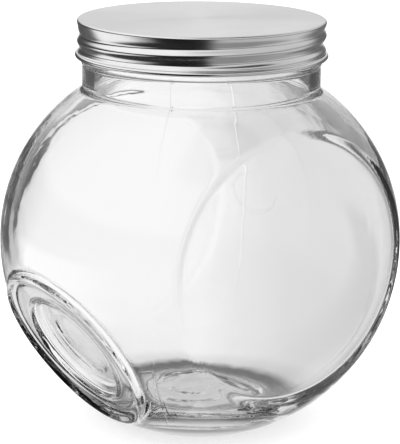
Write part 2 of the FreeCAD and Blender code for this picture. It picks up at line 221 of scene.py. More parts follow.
# %% Helpers for turned pieces
SAME_POINT = 0.005 * MM                 # points nearer than this are joined


def turned(name, outline, groups, segments):
    """Spin an outline round Z; `groups` names stretches of it by index."""
    mesh = bpy.data.meshes.new(name)
    mesh.from_pydata([(r, 0, z) for r, z in outline],
                     [(k, k + 1) for k in range(len(outline) - 1)], [])
    obj = bpy.data.objects.new(name, mesh)
    scene.collection.objects.link(obj)
    for label, (first, last) in groups.items():
        group = obj.vertex_groups.new(name=label)
        group.add(list(range(first, last)), 1.0, "REPLACE")
    pick(obj)
    bpy.ops.object.mode_set(mode="EDIT")
    bpy.ops.mesh.select_all(action="SELECT")
    bpy.ops.mesh.spin(steps=segments, angle=2 * math.pi, center=(0, 0, 0), axis=(0, 0, 1))
    bpy.ops.mesh.select_all(action="SELECT")
    bpy.ops.mesh.remove_doubles(threshold=SAME_POINT)
    bpy.ops.mesh.normals_make_consistent(inside=False)
    bpy.ops.object.mode_set(mode="OBJECT")
    return obj


def in_group(obj, label):
    """True for each vertex of a named stretch."""
    number = obj.vertex_groups[label].index
    return np.array([any(g.group == number and g.weight > 0.5 for g in v.groups)
                     for v in obj.data.vertices])


# %% [markdown]
# ## The glass
# The real jar is blown into a mould: a globe whose upper half is a little
# flatter, a straight neck, and a thick base with a push-up.  The wall is thin
# at the widest level and thickens towards the base.  A Solidify modifier would
# give one thickness everywhere, so a single outline is drawn instead, from the
# middle of the base over the outside, round the rim and down the inside.  The
# spun shell is closed, and light bends in it as in real glass.

# %% Outline of the outside
RECESS_RADIUS = 27.0 * MM               # push-up under the base
RECESS_DEPTH = 2.8 * MM
RECESS_FLAT = 24.0 * MM                 # its roof is drawn straight up to here
RECESS_SLOPE = 1.4 * MM                 # how far its side leans in
RECESS_ROUND = 1.2 * MM
HEEL_ROUND = 7.0 * MM
ROOT_ROUND = 3.0 * MM                   # where the neck grows from the shoulder
TANGENT = 10 * MM                       # any length, along the globe where it meets the base


def arc_offset(radius, end_radius, rise):
    """How far from the axis an arc has its centre, if it leaves the widest
    level upright at `radius` and ends at `end_radius`, `rise` away."""
    return (radius ** 2 - end_radius ** 2 - rise ** 2) / (2 * (radius - end_radius))


SHOULDER_CENTRE = arc_offset(GLOBE, NECK, SHOULDER_RISE)
SHOULDER_ARC = GLOBE - SHOULDER_CENTRE


def outside():
    """From the middle of the base to the foot of the neck, outside."""
    middle, edge = (0.0, RECESS_DEPTH), (RECESS_RADIUS - RECESS_SLOPE, RECESS_DEPTH)
    ring, stand = (RECESS_RADIUS, 0), (BASE, 0)
    points = [middle]
    points += straight(middle, (RECESS_FLAT, RECESS_DEPTH), steps=14)
    points += rounded_corner(middle, edge, ring, RECESS_ROUND, steps=4)
    points += rounded_corner(edge, ring, stand, RECESS_ROUND, steps=4)
    climb = math.asin(-EQUATOR / GLOBE) + math.pi / 2
    tangent = (BASE + TANGENT * math.cos(climb), TANGENT * math.sin(climb))
    heel = rounded_corner(ring, stand, tangent, HEEL_ROUND, steps=6)
    points += straight(points[-1], heel[0], steps=3)[:-1] + heel
    start = math.degrees(math.atan2(points[-1][1] - EQUATOR, points[-1][0]))
    points += arc((0, EQUATOR), GLOBE, start, 0, steps=66)[1:]
    end = math.degrees(math.atan2(SHOULDER_RISE, NECK - SHOULDER_CENTRE))
    shoulder = arc((SHOULDER_CENTRE, EQUATOR), SHOULDER_ARC, 0, end, steps=54)[1:]
    points += shoulder[:-2]
    points += rounded_corner(shoulder[-3], shoulder[-1], (NECK, RIM), ROOT_ROUND, steps=6)
    return points


outside_points = outside()
print("outside outline:", len(outside_points), "points, up to",
      [round(c / MM, 1) for c in outside_points[-1]])


# %% [markdown]
# The neck is straight up to a bead just under the lid.  Above the bead the
# glass is a little slimmer and carries the screw thread, which is added after
# the spin, because it is not round.

# %% Outline of the neck
LID_BOTTOM = lid_low.z
BEAD_TOP = LID_BOTTOM - 0.4 * MM
BEAD_HEIGHT = 2.4 * MM
BEAD_BULGE = 0.6 * MM
BEAD_STEPS = 6
FINISH_SLOPE = 0.4 * MM                 # height of the step from bead to threaded part
RIM_ROUND = 1.6 * MM


def neck():
    """Up the outside of the neck, over the bead and the threaded part."""
    bead_low = BEAD_TOP - BEAD_HEIGHT
    points = straight(outside_points[-1], (NECK, bead_low), steps=8)
    for k in range(1, BEAD_STEPS + 1):
        share = k / BEAD_STEPS
        points.append((NECK + BEAD_BULGE * math.sin(math.pi * share), bead_low + BEAD_HEIGHT * share))
    points += straight(points[-1], (FINISH, BEAD_TOP + FINISH_SLOPE), steps=1)
    points += straight(points[-1], (FINISH, RIM - RIM_ROUND), steps=22)
    points += arc((FINISH - RIM_ROUND, RIM - RIM_ROUND), RIM_ROUND, 0, 90, steps=5)[1:]
    return points


neck_points = neck()
print("neck outline:", len(neck_points), "points")

# %% [markdown]
# The inside follows the same curves, set in by the wall.  Setting it in by one
# distance everywhere would give an even wall, but blown glass gathers at the
# base.  So the inside has arcs of its own, and the lower one ends farther in, on
# the floor, which thickens the glass on its way down.

# %% Outline of the inside
INNER = GLOBE - WALL
BORE = NECK - NECK_WALL
BORE_ROUND = 1.0 * MM                   # edge between the rim and the bore
INNER_SHOULDER_ARC = SHOULDER_ARC - WALL
BORE_ROOT = EQUATOR + math.sqrt(INNER_SHOULDER_ARC ** 2 - (BORE - SHOULDER_CENTRE) ** 2)
BORE_END = BORE_ROOT + 2 * MM           # the straight bore stops short of the rounding
FLOOR_CENTRE = arc_offset(INNER, FLOOR_RADIUS, EQUATOR - FLOOR)
FLOOR_ROUND = 9.0 * MM


def inside():
    """From the rim down the bore and the inner wall to the middle of the floor."""
    points = arc((BORE + BORE_ROUND, RIM - BORE_ROUND), BORE_ROUND, 90, 180, steps=4)
    points += straight(points[-1], (BORE, BORE_END), steps=9)
    top = math.degrees(math.atan2(BORE_ROOT - EQUATOR, BORE - SHOULDER_CENTRE))
    shoulder = arc((SHOULDER_CENTRE, EQUATOR), INNER_SHOULDER_ARC, top, 0, steps=40)
    points += rounded_corner(points[-1], (BORE, BORE_ROOT), shoulder[2], ROOT_ROUND, steps=5)
    points += shoulder[2:]
    low = -math.degrees(math.asin((EQUATOR - FLOOR) / (INNER - FLOOR_CENTRE)))
    wall = arc((FLOOR_CENTRE, EQUATOR), INNER - FLOOR_CENTRE, 0, low, steps=50)[1:]
    points += wall[:-2]
    points += rounded_corner(wall[-3], wall[-1], (0, FLOOR), FLOOR_ROUND, steps=6)
    points += straight(points[-1], (0.0, FLOOR), steps=36)
    return points


inside_points = inside()
glass_outline = outside_points + neck_points + inside_points
print("glass outline:", len(glass_outline), "points")

# %% [markdown]
# Spun in 160 steps, the globe has faces under 4 mm wide, which smooth shading
# rounds off.  Twice as many would make the whole piece heavy, though only a few
# places bend sharply enough to need them, so those are divided on their own.

# %% Spin the glass
GLASS_SEGMENTS = 160
last_outside = len(outside_points)
first_inside = last_outside + len(neck_points)
glass = turned("glass_jar", glass_outline,
               {"outside": (0, last_outside), "neck": (last_outside, first_inside),
                "inside": (first_inside, len(glass_outline))}, GLASS_SEGMENTS)
count(glass)


# %% [markdown]
# The side faces and the foot are pressed into the soft globe: whatever would
# stand out beyond the flat plane is pushed back onto it, and the corner at the
# rim stays round.  Cutting the globe with a plane would leave a ragged edge
# that glass shows at once, so the points themselves are moved, by a smooth
# rule: untouched well inside the plane, flat well outside, rounded between.
# First the faces along the new rims are divided, so that the bend is smooth.

# %% Divide the glass along the rims
HEART = np.array([0.0, 0.0, EQUATOR])   # middle of the globe
FOOT_AXIS = np.array([-math.cos(FOOT_TILT), 0.0, -math.sin(FOOT_TILT)])
FOOT_ZONE = 70 * MM                     # the foot lies farther out than this along its axis
SIDE_BAND = 6.5 * MM                    # finer faces this near a side face's rim
DEPTH_SHARE = 0.7                       # the band reaches farther across the wall than along it
FOOT_MARGIN = 4 * MM                    # finer faces this far past the foot's rim
RIM_BAND = 2.2 * MM                     # finer still this near the rim
DISH_BAND = (19 * MM, 32 * MM)          # and round the edge of the dish


def around_foot(points):
    """Distance of points from the foot's axis, and how far out they lie."""
    away = points - HEART
    out = away @ FOOT_AXIS
    return np.linalg.norm(away - out[:, None] * FOOT_AXIS, axis=1), out


def near_side_rims(points):
    """True near the circles where the side faces meet the globe."""
    away = points - HEART
    flat_radius = math.sqrt(GLOBE ** 2 - FLAT ** 2)
    from_rim = np.hypot(np.hypot(away[:, 0], away[:, 2]) - flat_radius,
                        (np.abs(away[:, 1]) - FLAT) * DEPTH_SHARE)
    return from_rim < SIDE_BAND


refine(glass, near_side_rims(face_centres(glass)))
off_axis, out = around_foot(face_centres(glass))
refine(glass, (off_axis < FOOT_RADIUS + FOOT_MARGIN) & (out > FOOT_ZONE))
off_axis, out = around_foot(face_centres(glass))
rims = np.abs(off_axis - FOOT_RADIUS) < RIM_BAND
rims |= (off_axis > DISH_BAND[0]) & (off_axis < DISH_BAND[1])
refine(glass, rims & (out > FOOT_ZONE))
count(glass)

# %% Press the flat faces and the foot
SIDE_AXES = (np.array([0.0, -1.0, 0.0]), np.array([0.0, 1.0, 0.0]))
SIDE_SOFTNESS = 2.1 * MM                # how softly the rim of a side face bends, outside
SIDE_SOFTNESS_INSIDE = 1.3 * MM
SAG, SAG_DEPTH = 0.55 * MM, 30 * MM     # the glass sank: this much thicker at this depth
FOOT_SOFTNESS = 0.7 * MM
FOOT_SOFTNESS_INSIDE = 2.0 * MM
FOOT_WALL = 3.6 * MM


def pressed(places, axis, distance, softness):
    """Push points back onto the plane `distance` along `axis` from the heart.
    The distance can be one number, or one for each point."""
    beyond = (places - HEART) @ axis - distance
    rounded = -((beyond - softness) ** 2) / (4 * softness)
    target = np.where(beyond < -softness, beyond, np.where(beyond > softness, 0.0, rounded))
    return places + (target - beyond)[:, None] * axis


outer = in_group(glass, "outside")
inner = in_group(glass, "inside")
places = coordinates(glass)
below = np.clip(EQUATOR - places[inner, 2], 0, None)
sunk = SAG * (below / SAG_DEPTH) ** 2
for axis in SIDE_AXES:
    places[outer] = pressed(places[outer], axis, FLAT, SIDE_SOFTNESS)
    places[inner] = pressed(places[inner], axis, FLAT - WALL - sunk, SIDE_SOFTNESS_INSIDE)
places[outer] = pressed(places[outer], FOOT_AXIS, FOOT_DISTANCE, FOOT_SOFTNESS)
places[inner] = pressed(places[inner], FOOT_AXIS, FOOT_DISTANCE - FOOT_WALL, FOOT_SOFTNESS_INSIDE)
print(f"side faces pressed flat {np.abs(places[outer, 1]).max() / MM:.1f} mm from the axis")

# %% [markdown]
# The jar leans on a ring at the rim of the foot, which stands a little proud.
# The middle of the foot is dished, and the glass behind it is pushed in with it.
# An inset and an extrusion would do on a flat disc, but here the faces run on
# into the globe, so the points are moved by smooth steps instead.

# %% Raise the foot's ring
RING_HEIGHT = 1.1 * MM
RING_RADIUS = FOOT_RADIUS - 0.6 * MM
RING_WIDTH = 2.8 * MM                   # from its crest to about a third of its height


def outward_from_heart(places):
    """The directions from the middle of the globe to each point."""
    outward = places - HEART
    return outward / np.linalg.norm(outward, axis=1)[:, None]


off_axis, out = around_foot(places)
ring = RING_HEIGHT * np.exp(-((off_axis - RING_RADIUS) / RING_WIDTH) ** 2)
ring *= outer & (out > FOOT_ZONE)
places += ring[:, None] * outward_from_heart(places)
move_to(glass, places)
print(f"the ring of the foot stands {ring.max() / MM:.1f} mm proud")

# %% Dish the middle of the foot
DISH_DEPTH = 5.0 * MM
DISH_RADIUS, DISH_SLOPE = 26.1 * MM, 3.4 * MM        # to half way down its side; its width
HOLLOW_DEPTH = 0.5 * MM                 # a slight second step in its middle
HOLLOW_RADIUS, HOLLOW_SLOPE = 15.8 * MM, 3.0 * MM
BEHIND_RADIUS, BEHIND_SLOPE = 27.3 * MM, 6.0 * MM    # the same dish inside the jar
NEAR_FOOT = FOOT_DISTANCE - 9 * MM      # only what lies farther out is dished


def step(distance, radius, width):
    """0 outside a circle, 1 inside it, with a smooth slope between."""
    share = np.clip((radius - distance) / width + 0.5, 0, 1)
    return share * share * (3 - 2 * share)


places = coordinates(glass)
off_axis, out = around_foot(places)
near = out > NEAR_FOOT
dish = DISH_DEPTH * step(off_axis, DISH_RADIUS, DISH_SLOPE)
dish += HOLLOW_DEPTH * step(off_axis, HOLLOW_RADIUS, HOLLOW_SLOPE)
places[outer & near] -= dish[outer & near, None] * FOOT_AXIS
behind = DISH_DEPTH * step(off_axis, BEHIND_RADIUS, BEHIND_SLOPE)
places[inner & near] -= behind[inner & near, None] * FOOT_AXIS
move_to(glass, places)
print(f"the middle of the foot is {dish[outer & near].max() / MM:.1f} mm deep")

# %% [markdown]
# Blown glass is smooth outside, where it met the mould, and a little uneven
# inside.  The floor keeps the marks of the glass that flowed there last.  A
# bump in the material would not bend the view through the glass as far, so
# these swells are real shape, pushed in and out by smooth noise.

# %% Unevenness of the inside
SWELLS = ((0.22 * MM, 34 * MM, 1), (0.05 * MM, 12 * MM, 2))      # height, size, seed
WANDER_SIZE, WANDER_SEED = 16 * MM, 3   # the slow wandering of the marks
FINE_SIZE, FINE_SEED = 7 * MM, 4
FLOW_LOBES = ((2, 0.10, 0.6), (3, 0.05, 2.0))        # lobes, share of the radius, turn
FLOW_WANDER = 0.16                      # share of the radius
# Each step of the marks: radius and width in millimetres, height in the same,
# and how far the fine noise moves its edge.
FLOW_STEPS = ((25, 4, 1.0, 0.0), (20, 3, -0.8, 0.0), (12, 3, 0.7, 0.25))
FLOW_NOISE = (0.3, 0.2)                 # height of the slow and the fine noise
FLOW_RADIUS, FLOW_EDGE = 31 * MM, 6 * MM             # the marks end here
FLOW_TOP = 14 * MM                      # and lie below this level


def uneven(points, size, seed):
    """Smooth noise between about -1 and 1, `size` metres from swell to swell."""
    shift = Vector((7.31 * seed, 3.17 * seed, 1.73 * seed))
    return np.array([noise.noise(Vector(p) / size + shift) for p in points])


def flow_marks(points):
    """Height of the frozen flow marks on the inner floor: three wandering steps."""
    radius = np.hypot(points[:, 0], points[:, 1])
    angle = np.arctan2(points[:, 1], points[:, 0])
    wander = uneven(points, WANDER_SIZE, WANDER_SEED)
    fine = uneven(points, FINE_SIZE, FINE_SEED)
    edge = 1 + FLOW_WANDER * wander
    for lobes, share, turn in FLOW_LOBES:
        edge += share * np.cos(lobes * angle + turn)
    marks = FLOW_NOISE[0] * wander + FLOW_NOISE[1] * fine
    for size, width, height, moved in FLOW_STEPS:
        marks += height * step(radius, size * MM * (edge + moved * fine), width * MM)
    return marks * MM * step(radius, FLOW_RADIUS, FLOW_EDGE)


places = coordinates(glass)
outward = outward_from_heart(places)
swell = sum(height * uneven(places[inner], size, seed) for height, size, seed in SWELLS)
places[inner] += swell[:, None] * outward[inner]
on_floor = inner & (places[:, 2] < FLOW_TOP)
places[on_floor, 2] += flow_marks(places[on_floor])
print(f"inside swells from {swell.min() / MM:.2f} to {swell.max() / MM:.2f} mm")

# %% [markdown]
# The screw thread is a rib that climbs round the neck once and a third, and
# swells up and dies away at its ends.  A Screw modifier would make it as a
# separate strip, with a seam inside the glass, so the neck's own points are
# moved out instead.

# %% Thread of the neck
RIB_HEIGHT = 1.0 * MM
RIB_WIDTH = 1.0 * MM
RIB_RISE = 6.4 * MM                     # per turn
RIB_LEVEL = BEAD_TOP + 4.2 * MM         # reached after RIB_MIDDLE turns
RIB_MIDDLE = 0.45
RIB_START, RIB_END = 0.25, 1.6          # in turns
RIB_GROWTH = 12                         # full height after a twelfth of a turn
RIB_ZONE = (BEAD_TOP + 1.5 * MM, RIM - 1.7 * MM)     # the straight part between bead and rim

laps = (np.degrees(np.arctan2(places[:, 1], places[:, 0])) % 360) / 360
radial = places[:, :2] / np.maximum(np.hypot(places[:, 0], places[:, 1]), MM)[:, None]
threaded = in_group(glass, "neck")
threaded &= (places[:, 2] > RIB_ZONE[0]) & (places[:, 2] < RIB_ZONE[1])
for lap in (0, 1):
    level = RIB_LEVEL + RIB_RISE * (laps + lap - RIB_MIDDLE)
    rib = RIB_HEIGHT * np.exp(-((places[:, 2] - level) / RIB_WIDTH) ** 2)
    rib *= np.clip((laps + lap - RIB_START) * RIB_GROWTH, 0, 1)
    rib *= np.clip((RIB_END - laps - lap) * RIB_GROWTH, 0, 1)
    places[threaded, :2] += (rib[:, None] * radial)[threaded]
move_to(glass, places)
print("the rib can move", int(threaded.sum()), "points of the neck")


# %% [markdown]
# ## The lid
# The lid is pressed from tinplate.  Its edge is rolled into a curl that stands
# out, the flat top ends in a narrow rounded rim, and a thread is rolled into
# the side.  One outline with both sides of the sheet is spun, because the curl
# shows its underside, and a Solidify modifier would pinch there.

# %% Outline of the lid
LID_TOP = lid_high.z
LID_RIM = 56.6 * MM
LID_EDGE_ROUND = 1.2 * MM
SKIRT = 56.05 * MM
SHEET = 0.35 * MM
BAND_LEAN = 4.8 * MM                    # the side leans in to the skirt over this height
BAND_LEAN_INSIDE = 2.3 * MM
TOP_FLAT = LID_RIM - 2.0 * MM           # the top is drawn straight up to here
TOP_FLAT_INSIDE = LID_RIM - 1.3 * MM
CURL = 1.15 * MM
CURL_HEART = (lid_high.x - CURL, LID_BOTTOM + CURL)
CURL_SWEEP = (92, -205)                 # in degrees, from its top round the outside
CURL_JOIN = (CURL_HEART[0] - 0.35 * MM, CURL_HEART[1] + CURL + 0.5 * MM)
FLARE = CURL_JOIN[1] + 1.2 * MM         # the skirt begins to lean out at this level


def lid_outline():
    """From the middle of the top, down the outside, round the curl, up inside."""
    middle, edge, below = (0.0, LID_TOP), (LID_RIM, LID_TOP), (LID_RIM, LID_BOTTOM)
    skirt_top = (SKIRT, LID_TOP - BAND_LEAN)
    skirt_inside = SKIRT - SHEET
    points = [middle] + straight(middle, (TOP_FLAT, LID_TOP), steps=22)
    points += rounded_corner(middle, edge, below, LID_EDGE_ROUND, steps=6)
    points += straight(points[-1], skirt_top, steps=3)
    points += straight(skirt_top, (SKIRT, FLARE), steps=44)
    points += straight(points[-1], CURL_JOIN, steps=4)
    points += arc(CURL_HEART, CURL, *CURL_SWEEP, steps=18)
    points += straight(points[-1], (skirt_inside, FLARE), steps=3)
    points += straight(points[-1], (skirt_inside, LID_TOP - BAND_LEAN_INSIDE), steps=44)
    points += straight(points[-1], (TOP_FLAT_INSIDE, LID_TOP - SHEET), steps=2)
    points += straight(points[-1], (0.0, LID_TOP - SHEET), steps=12)
    return points


LID_SEGMENTS = 240
lid_points = lid_outline()
lid = turned("screw_lid", lid_points, {"all": (0, len(lid_points))}, LID_SEGMENTS)
count(lid)

# %% [markdown]
# The rolled thread is one ridge that falls to the left as it goes round, almost
# one and a half times, with a hollow above it and a groove below.  Both sides of
# the sheet move together, as rolling moves them, so it keeps its thickness.

# %% Roll the thread into the lid
THREAD_RISE = 6.9 * MM                  # per turn
THREAD_START = 6.8 * MM                 # below the top, where the turn is counted from
THREAD_ENDS = (-0.20, 1.27)             # in turns
THREAD_FADE = (0.09, 0.10)              # turns over which it grows and dies away
ROLLS = ((-3.1, -0.60, 1.4), (0.0, 0.58, 1.5), (3.8, -0.62, 2.2))   # hollow, ridge and groove
BAND_CLEAR = 1.8 * MM                   # nothing is rolled nearer the top than this
CURL_CLEAR = 0.3 * MM                   # or nearer the curl than this
EDGE_FADE = 1.6 * MM
SKIRT_ZONE = 50 * MM                    # the side of the lid lies outside this radius


def rolled(below):
    """How far the sheet stands out at a distance below the ridge.  Each roll has
    its place below the ridge, its height and its width, in millimetres."""
    return sum(height * np.exp(-((below / MM - place) / width) ** 2) for place, height, width in ROLLS)


places = coordinates(lid)
radius = np.hypot(places[:, 0], places[:, 1])
right = places @ np.array(RIGHT_HAND)
ahead = places @ np.array(TOWARDS_CAMERA)
turn = np.arctan2(ahead, right) / (2 * math.pi)      # 0 at the right, 0.25 in front
below_top = LID_TOP - places[:, 2]
above_curl = places[:, 2] - CURL_HEART[1] - CURL
standing = np.zeros(len(places))
for lap in (-1, 0, 1, 2):
    laps = turn + lap
    window = np.clip((laps - THREAD_ENDS[0]) / THREAD_FADE[0], 0, 1)
    window *= np.clip((THREAD_ENDS[1] - laps) / THREAD_FADE[1], 0, 1)
    window = window * window * (3 - 2 * window)
    standing += window * rolled(below_top - THREAD_START - THREAD_RISE * laps)
fade = np.clip((below_top - BAND_CLEAR) / EDGE_FADE, 0, 1)
fade *= np.clip((above_curl - CURL_CLEAR) / EDGE_FADE, 0, 1)
grow = np.where(radius > SKIRT_ZONE, standing * fade * MM, 0) / np.maximum(radius, MM)
places[:, :2] *= 1 + grow[:, None]
move_to(lid, places)
print(f"lid rolled from {(grow * radius).min() / MM:.2f} to {(grow * radius).max() / MM:.2f} mm")


# %% [markdown]
# ## Materials
# Every material is made of nodes.  Patterns read the Object coordinates, which
# are metres in the model's own frame, so a pattern keeps its size on any piece.
# A few helpers keep the node trees short: each adds one node, fills it in and
# gives back the output that the next one needs.

# %% Helpers for materials
def new_material(name):
    material = bpy.data.materials.new(name)
    material.use_nodes = True
    return material, material.node_tree


def fill(tree, socket, value):
    """Link a socket to another node's output, or set it to a plain value."""
    if isinstance(value, bpy.types.NodeSocket):
        tree.links.new(value, socket)
    else:
        socket.default_value = value


def add(tree, kind, *inputs, **named):
    """Add a node.  `inputs` fill its sockets in order, `named` its sockets and
    settings by name."""
    node = tree.nodes.new("ShaderNode" + kind)
    settings = [key for key in named if key not in node.inputs.keys()]
    for key in settings:
        setattr(node, key, named.pop(key))
    for key, value in named.items():
        fill(tree, node.inputs[key], value)
    for socket, value in zip(node.inputs, inputs):
        fill(tree, socket, value)
    return node


def object_place(tree):
    return add(tree, "TexCoord").outputs["Object"]


def ramp(tree, value, stops):
    """Look a value up in (position, brightness) pairs, which gives a grey."""
    node = add(tree, "ValToRGB", value)
    elements = node.color_ramp.elements
    while len(elements) < len(stops):
        elements.new(0.5)
    for element, (position, grey) in zip(elements, stops):
        element.position = position
        element.color = (grey, grey, grey, 1)
    return node.outputs["Color"]


def spread(tree, value, start, end, to=(0.0, 1.0), smooth=False):
    """Stretch the span from start to end over another one."""
    kind = "SMOOTHSTEP" if smooth else "LINEAR"
    spans = {"From Min": start, "From Max": end, "To Min": to[0], "To Max": to[1]}
    return add(tree, "MapRange", value, interpolation_type=kind, **spans).outputs[0]


def calculate(tree, operation, *values, **settings):
    return add(tree, "Math", *values, operation=operation, **settings).outputs[0]


def along(tree, place, direction):
    """How far a place lies in a direction."""
    return add(tree, "VectorMath", place, direction, operation="DOT_PRODUCT").outputs["Value"]


def length(tree, vector):
    return add(tree, "VectorMath", vector, operation="LENGTH").outputs["Value"]


def mixed(tree, share, first, second, blend="MIX"):
    return add(tree, "MixRGB", share, first, second, blend_type=blend).outputs[0]


def choose_shader(tree, share, first, second):
    """Let the material's surface be the first shader or the second."""
    mix = add(tree, "MixShader", share, first, second)
    tree.links.new(mix.outputs[0], tree.nodes["Material Output"].inputs["Surface"])


# %% [markdown]
# The jar is clear soda glass with a faint tint.  A Layer Weight node darkens its
# colour towards every rim.  This is painted shade: it stands in for the long way
# light takes through the glass edge on, and for the dark room that the rims mirror.
# An absorption colour would darken the whole wall by its thickness.  Outside, a
# fine raised line shows where the mould opened.  Inside, slow waves bend the
# view a little, as in old window glass.  The glass lets lamp light through to
# the floor as clear film would, because real caustics take too long to draw.

# %% Glass
GLASS_IOR = 1.51
# Colour of the glass from face on to edge on: a faint tint, then painted shade at the rims.
GLASS_TINT_AND_EDGE_SHADE = ((0.0, 0.96), (0.5, 0.945), (0.7, 0.90), (0.85, 0.72), (1.0, 0.25))
LET_THROUGH = (0.97, 0.97, 0.97, 1)
SEAM_AZIMUTH = math.radians(219.4)      # where the two halves of the mould met
SEAM_WIDTH = 0.9 * MM                   # from its middle to its edge
SEAM_HEIGHT = 0.07 * MM
WAVE_HEIGHT = 0.09 * MM


def mould_seam(tree):
    """Height of the seam, which runs down both sides, and its depth in metres."""
    across = along(tree, object_place(tree), (-math.sin(SEAM_AZIMUTH), math.cos(SEAM_AZIMUTH), 0))
    distance = calculate(tree, "ABSOLUTE", across)
    return spread(tree, distance, 0.0, SEAM_WIDTH, to=(1.0, 0.0), smooth=True), SEAM_HEIGHT


def slow_waves(tree):
    """Height of the waves of the inside, and their depth in metres."""
    waves = add(tree, "TexNoise", Vector=object_place(tree), Scale=95.0, Detail=2.0, Roughness=0.45)
    return waves.outputs[0], WAVE_HEIGHT


def clear_glass(name, relief):
    """Soda glass with one of the two reliefs, and painted shade at its rims."""
    material, tree = new_material(name)
    shader = tree.nodes["Principled BSDF"]
    shader.inputs["Roughness"].default_value = 0.0
    shader.inputs["IOR"].default_value = GLASS_IOR
    shader.inputs["Transmission Weight"].default_value = 1.0
    facing = add(tree, "LayerWeight", Blend=0.5).outputs["Facing"]
    # Painted shade: the colour darkens towards every rim, where the surface is seen edge on.
    fill(tree, shader.inputs["Base Color"], ramp(tree, facing, GLASS_TINT_AND_EDGE_SHADE))
    height, depth = relief(tree)
    bump = add(tree, "Bump", Strength=1.0, Distance=depth, Height=height)
    fill(tree, shader.inputs["Normal"], bump.outputs[0])
    film = add(tree, "BsdfTransparent", Color=LET_THROUGH)
    shadow = add(tree, "LightPath").outputs["Is Shadow Ray"]
    choose_shader(tree, shadow, shader.outputs[0], film.outputs[0])
    return material


glass.data.materials.append(clear_glass("clear_glass", mould_seam))
glass.data.materials.append(clear_glass("clear_glass_inside", slow_waves))
inner = in_group(glass, "inside")
for face in glass.data.polygons:
    face.material_index = int(all(inner[v] for v in face.vertices))
pick(glass)
bpy.ops.object.shade_smooth()
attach(glass, "root")
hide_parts("jar")
count(glass)


# %% [markdown]
# The lid is bright tinplate: satin on the flat top, brighter on the rolled
# side, with fine marks that run round it.  Painted scratches would need a UV
# map, so the marks are noise read along the radius and the height alone, which
# draws rings.  The anisotropic shader stretches its highlights across
# them, as turned metal does, and slow clouds vary the shine and the grey.

# %% Metal of the lid
TURNING_MARK = 0.01 * MM
TOP_BLEND = (LID_TOP - 1.2 * MM, LID_TOP - 0.2 * MM)      # from the side's shine to the top's
SIDE_AND_TOP_ROUGHNESS = (0.13, 0.27)
CLOUDY_ROUGHNESS = 0.08
TIN_GREYS = ((0.3, 0.66), (0.7, 0.73))


def brushed_steel():
    """Satin on the flat top, brighter on the rolled side, with fine turning marks."""
    material, tree = new_material("lid_metal")
    shader = tree.nodes["Principled BSDF"]
    shader.inputs["Metallic"].default_value = 1.0
    shader.inputs["Anisotropic"].default_value = 0.6
    place = object_place(tree)
    split = add(tree, "SeparateXYZ", place)
    flat = add(tree, "CombineXYZ", X=split.outputs["X"], Y=split.outputs["Y"])
    ringed = add(tree, "CombineXYZ", X=length(tree, flat.outputs[0]), Y=split.outputs["Z"])
    marks = add(tree, "TexNoise", Vector=ringed.outputs[0], Scale=2600.0, Detail=3.0, Roughness=0.6)
    bump = add(tree, "Bump", Strength=0.35, Distance=TURNING_MARK, Height=marks.outputs[0])
    fill(tree, shader.inputs["Normal"], bump.outputs[0])
    clouds = add(tree, "TexNoise", Vector=place, Scale=38.0, Detail=3.0, Roughness=0.55)
    on_top = spread(tree, split.outputs["Z"], *TOP_BLEND, smooth=True)
    roughness = spread(tree, on_top, 0.0, 1.0, to=SIDE_AND_TOP_ROUGHNESS)
    worn = calculate(tree, "MULTIPLY_ADD", clouds.outputs[0], CLOUDY_ROUGHNESS, roughness)
    fill(tree, shader.inputs["Roughness"], worn)
    fill(tree, shader.inputs["Base Color"], ramp(tree, clouds.outputs[0], TIN_GREYS))
    tangent = add(tree, "Tangent", direction_type="RADIAL", axis="Z")
    fill(tree, shader.inputs["Tangent"], tangent.outputs[0])
    return material


lid.data.materials.append(brushed_steel())
pick(lid)
bpy.ops.object.shade_smooth()
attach(lid, "root")
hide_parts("lid")
count(lid)


# %% [markdown]
# The sealing disc hides between the lid and the rim.  Its solid is already the
# plain disc that it is, so it stays, and only gets its soft white finish.

# %% Sealing disc
DISC_GREYS = ((0.3, 0.68), (0.7, 0.80))


def soft_white():
    """The soft white compound of the sealing disc, with a faint cloudiness."""
    material, tree = new_material("liner")
    shader = tree.nodes["Principled BSDF"]
    shader.inputs["Roughness"].default_value = 0.55
    place = object_place(tree)
    clouds = add(tree, "TexNoise", Vector=place, Scale=60.0, Detail=4.0, Roughness=0.6).outputs[0]
    fill(tree, shader.inputs["Base Color"], ramp(tree, clouds, DISC_GREYS))
    bump = add(tree, "Bump", Strength=0.4, Distance=0.05 * MM, Height=clouds)
    fill(tree, shader.inputs["Normal"], bump.outputs[0])
    return material


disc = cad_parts["lid_liner"]
disc.data.materials.clear()
disc.data.materials.append(soft_white())
count(disc)


# %% [markdown]
# ## The studio
# Glass and metal have no look of their own: they show what stands round them.
# Here that is a sheet of white paper under one very soft light.  Clear glass on
# white has no outline, so a studio puts black cards behind it at both sides,
# out of view: its edges bend the sight towards them and turn dark.  Cards made
# as planes would show in other views and darken the paper, so they are drawn
# into the paper's brightness, for rays that have come through the glass alone.
# The shadow under the thick base is painted into it the same way, and so is a
# shade that darkens the paper towards the right.

# %% Floor
FLOOR_GREY = 0.84
FLOOR_GLOW = 0.31
FLOOR_SIZE = 12
FLOOR_DROP = 0.1 * MM                   # keeps the paper clear of the base ring
SEEN_GLOW = 1.09                        # brightness of the paper through the glass
